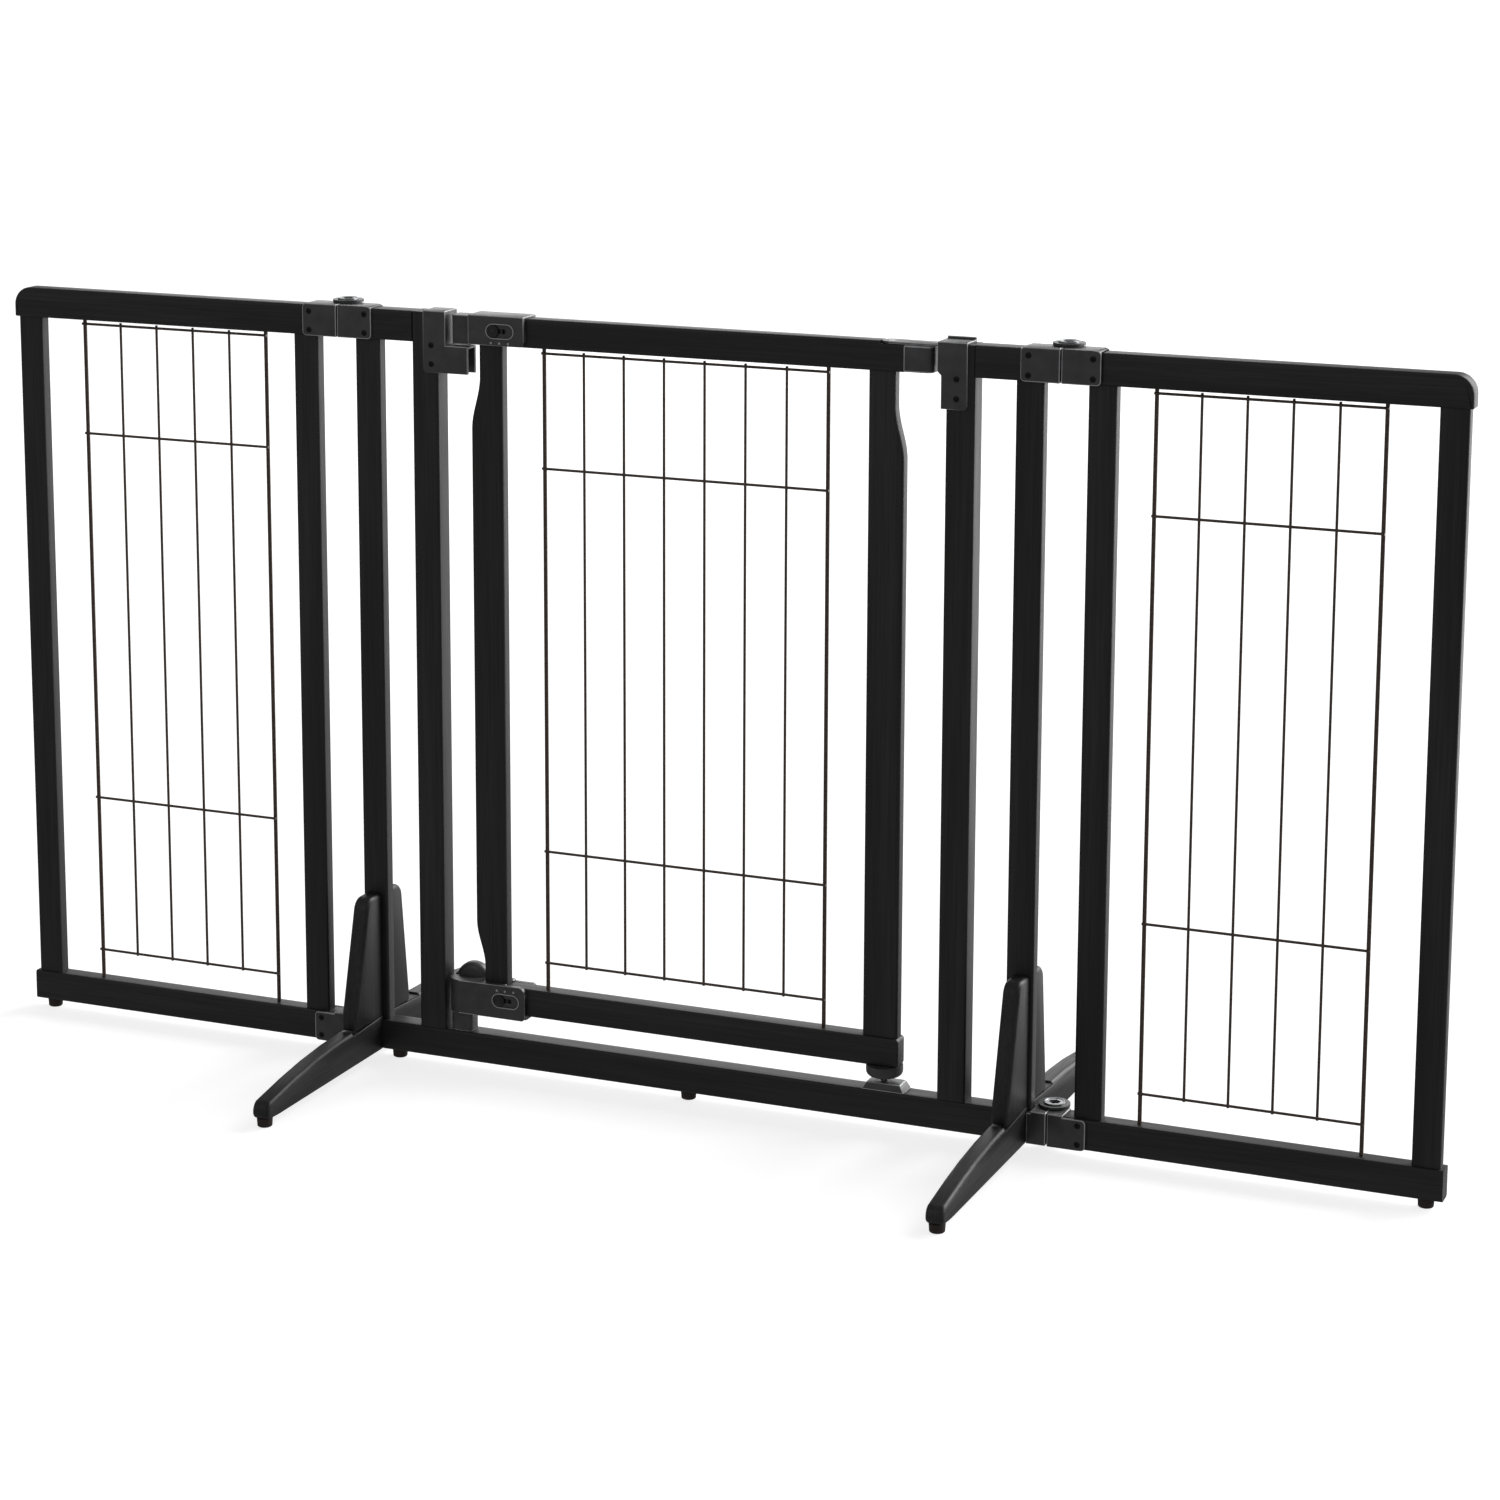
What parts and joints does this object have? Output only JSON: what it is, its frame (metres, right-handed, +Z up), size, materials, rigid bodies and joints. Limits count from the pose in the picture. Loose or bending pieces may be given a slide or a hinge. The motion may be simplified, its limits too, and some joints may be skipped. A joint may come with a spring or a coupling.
{
  "type": "pet gate",
  "caption": "Free-standing folding pet gate in black wood with wire grids: a centre frame on crosswise legs, a latching swing door and a folding panel at each side.",
  "frame": {"origin": "on the floor under the middle of the gate", "axes": "+X along the gate towards the door's hinge side, +Y towards the back, +Z up"},
  "size_m": [1.582, 0.512, 0.8166],
  "materials": {
    "stained_wood": "black stain, satin lacquer",
    "moulded_plastic": "fine-textured black moulding",
    "coated_wire": "dark bronze powder coat",
    "foot_rubber": "dark brown, matt",
    "zinc_steel": "zinc plated",
    "black_screw": "black oxide",
    "dowel_wood": "plain turned wood"
  },
  "bodies": {
    "centre_frame": {"centre_bottom_rail": "stained_wood", "left_stub_rail": "stained_wood", "right_stub_rail": "stained_wood", "left_gate_post": "stained_wood", "right_gate_post": "stained_wood", "left_inner_post": "stained_wood", "right_inner_post": "stained_wood", "left_front_leg": "stained_wood", "left_rear_leg": "stained_wood", "right_front_leg": "stained_wood", "right_rear_leg": "stained_wood", "leg_bolts": "zinc_steel", "leg_pads": "foot_rubber", "centre_feet": "foot_rubber", "strike_bracket": "moulded_plastic", "upper_hinge_bracket": "moulded_plastic", "upper_pivot_pin": "zinc_steel", "lower_pivot_saddle": "moulded_plastic", "lower_pivot_pin": "zinc_steel", "catch_peg": "moulded_plastic", "left_top_inner_leaf": "moulded_plastic", "left_bottom_inner_leaf": "moulded_plastic", "right_top_inner_leaf": "moulded_plastic", "right_bottom_inner_leaf": "moulded_plastic", "fold_pins": "zinc_steel", "centre_screws": "black_screw", "centre_dowels": "dowel_wood"},
    "left_panel": {"left_top_rail": "stained_wood", "left_bottom_rail": "stained_wood", "left_outer_post": "stained_wood", "left_side_post": "stained_wood", "left_wire_grid": "coated_wire", "left_top_outer_leaf": "moulded_plastic", "left_bottom_outer_leaf": "moulded_plastic", "left_foot": "foot_rubber", "left_screws": "black_screw", "left_dowels": "dowel_wood"},
    "right_panel": {"right_top_rail": "stained_wood", "right_bottom_rail": "stained_wood", "right_outer_post": "stained_wood", "right_side_post": "stained_wood", "right_wire_grid": "coated_wire", "right_top_outer_leaf": "moulded_plastic", "right_bottom_outer_leaf": "moulded_plastic", "right_foot": "foot_rubber", "right_screws": "black_screw", "right_dowels": "dowel_wood"},
    "door": {"door_top_rail": "stained_wood", "door_bottom_rail": "stained_wood", "door_latch_post": "stained_wood", "door_hinge_post": "stained_wood", "door_wire_grid": "coated_wire", "door_end_cap": "moulded_plastic", "top_latch_housing": "moulded_plastic", "latch_bolt": "moulded_plastic", "bottom_latch_housing": "moulded_plastic", "pivot_dome": "moulded_plastic", "door_dowels": "dowel_wood"},
    "top_lock": {"top_lock_knob": "moulded_plastic"},
    "bottom_lock": {"bottom_lock_knob": "moulded_plastic"}
  },
  "joints": [
    {"name": "left_fold", "type": "hinge", "parent": "centre_frame", "child": "left_panel", "pos_m": [-0.394, 0.013, 0.4], "axis": [0, 0, -1], "range_deg": [0, 90]},
    {"name": "right_fold", "type": "hinge", "parent": "centre_frame", "child": "right_panel", "pos_m": [0.394, 0.013, 0.4], "axis": [0, 0, 1], "range_deg": [0, 90]},
    {"name": "door_swing", "type": "hinge", "parent": "centre_frame", "child": "door", "pos_m": [0.217, 0, 0.4], "axis": [0, 0, 1], "range_deg": [-90, 90]},
    {"name": "top_lock_slide", "type": "slide", "parent": "door", "child": "top_lock", "axis": [1, 0, 0], "range_m": [0, 0.012]},
    {"name": "bottom_lock_slide", "type": "slide", "parent": "door", "child": "bottom_lock", "axis": [1, 0, 0], "range_m": [0, 0.012]}
  ]
}
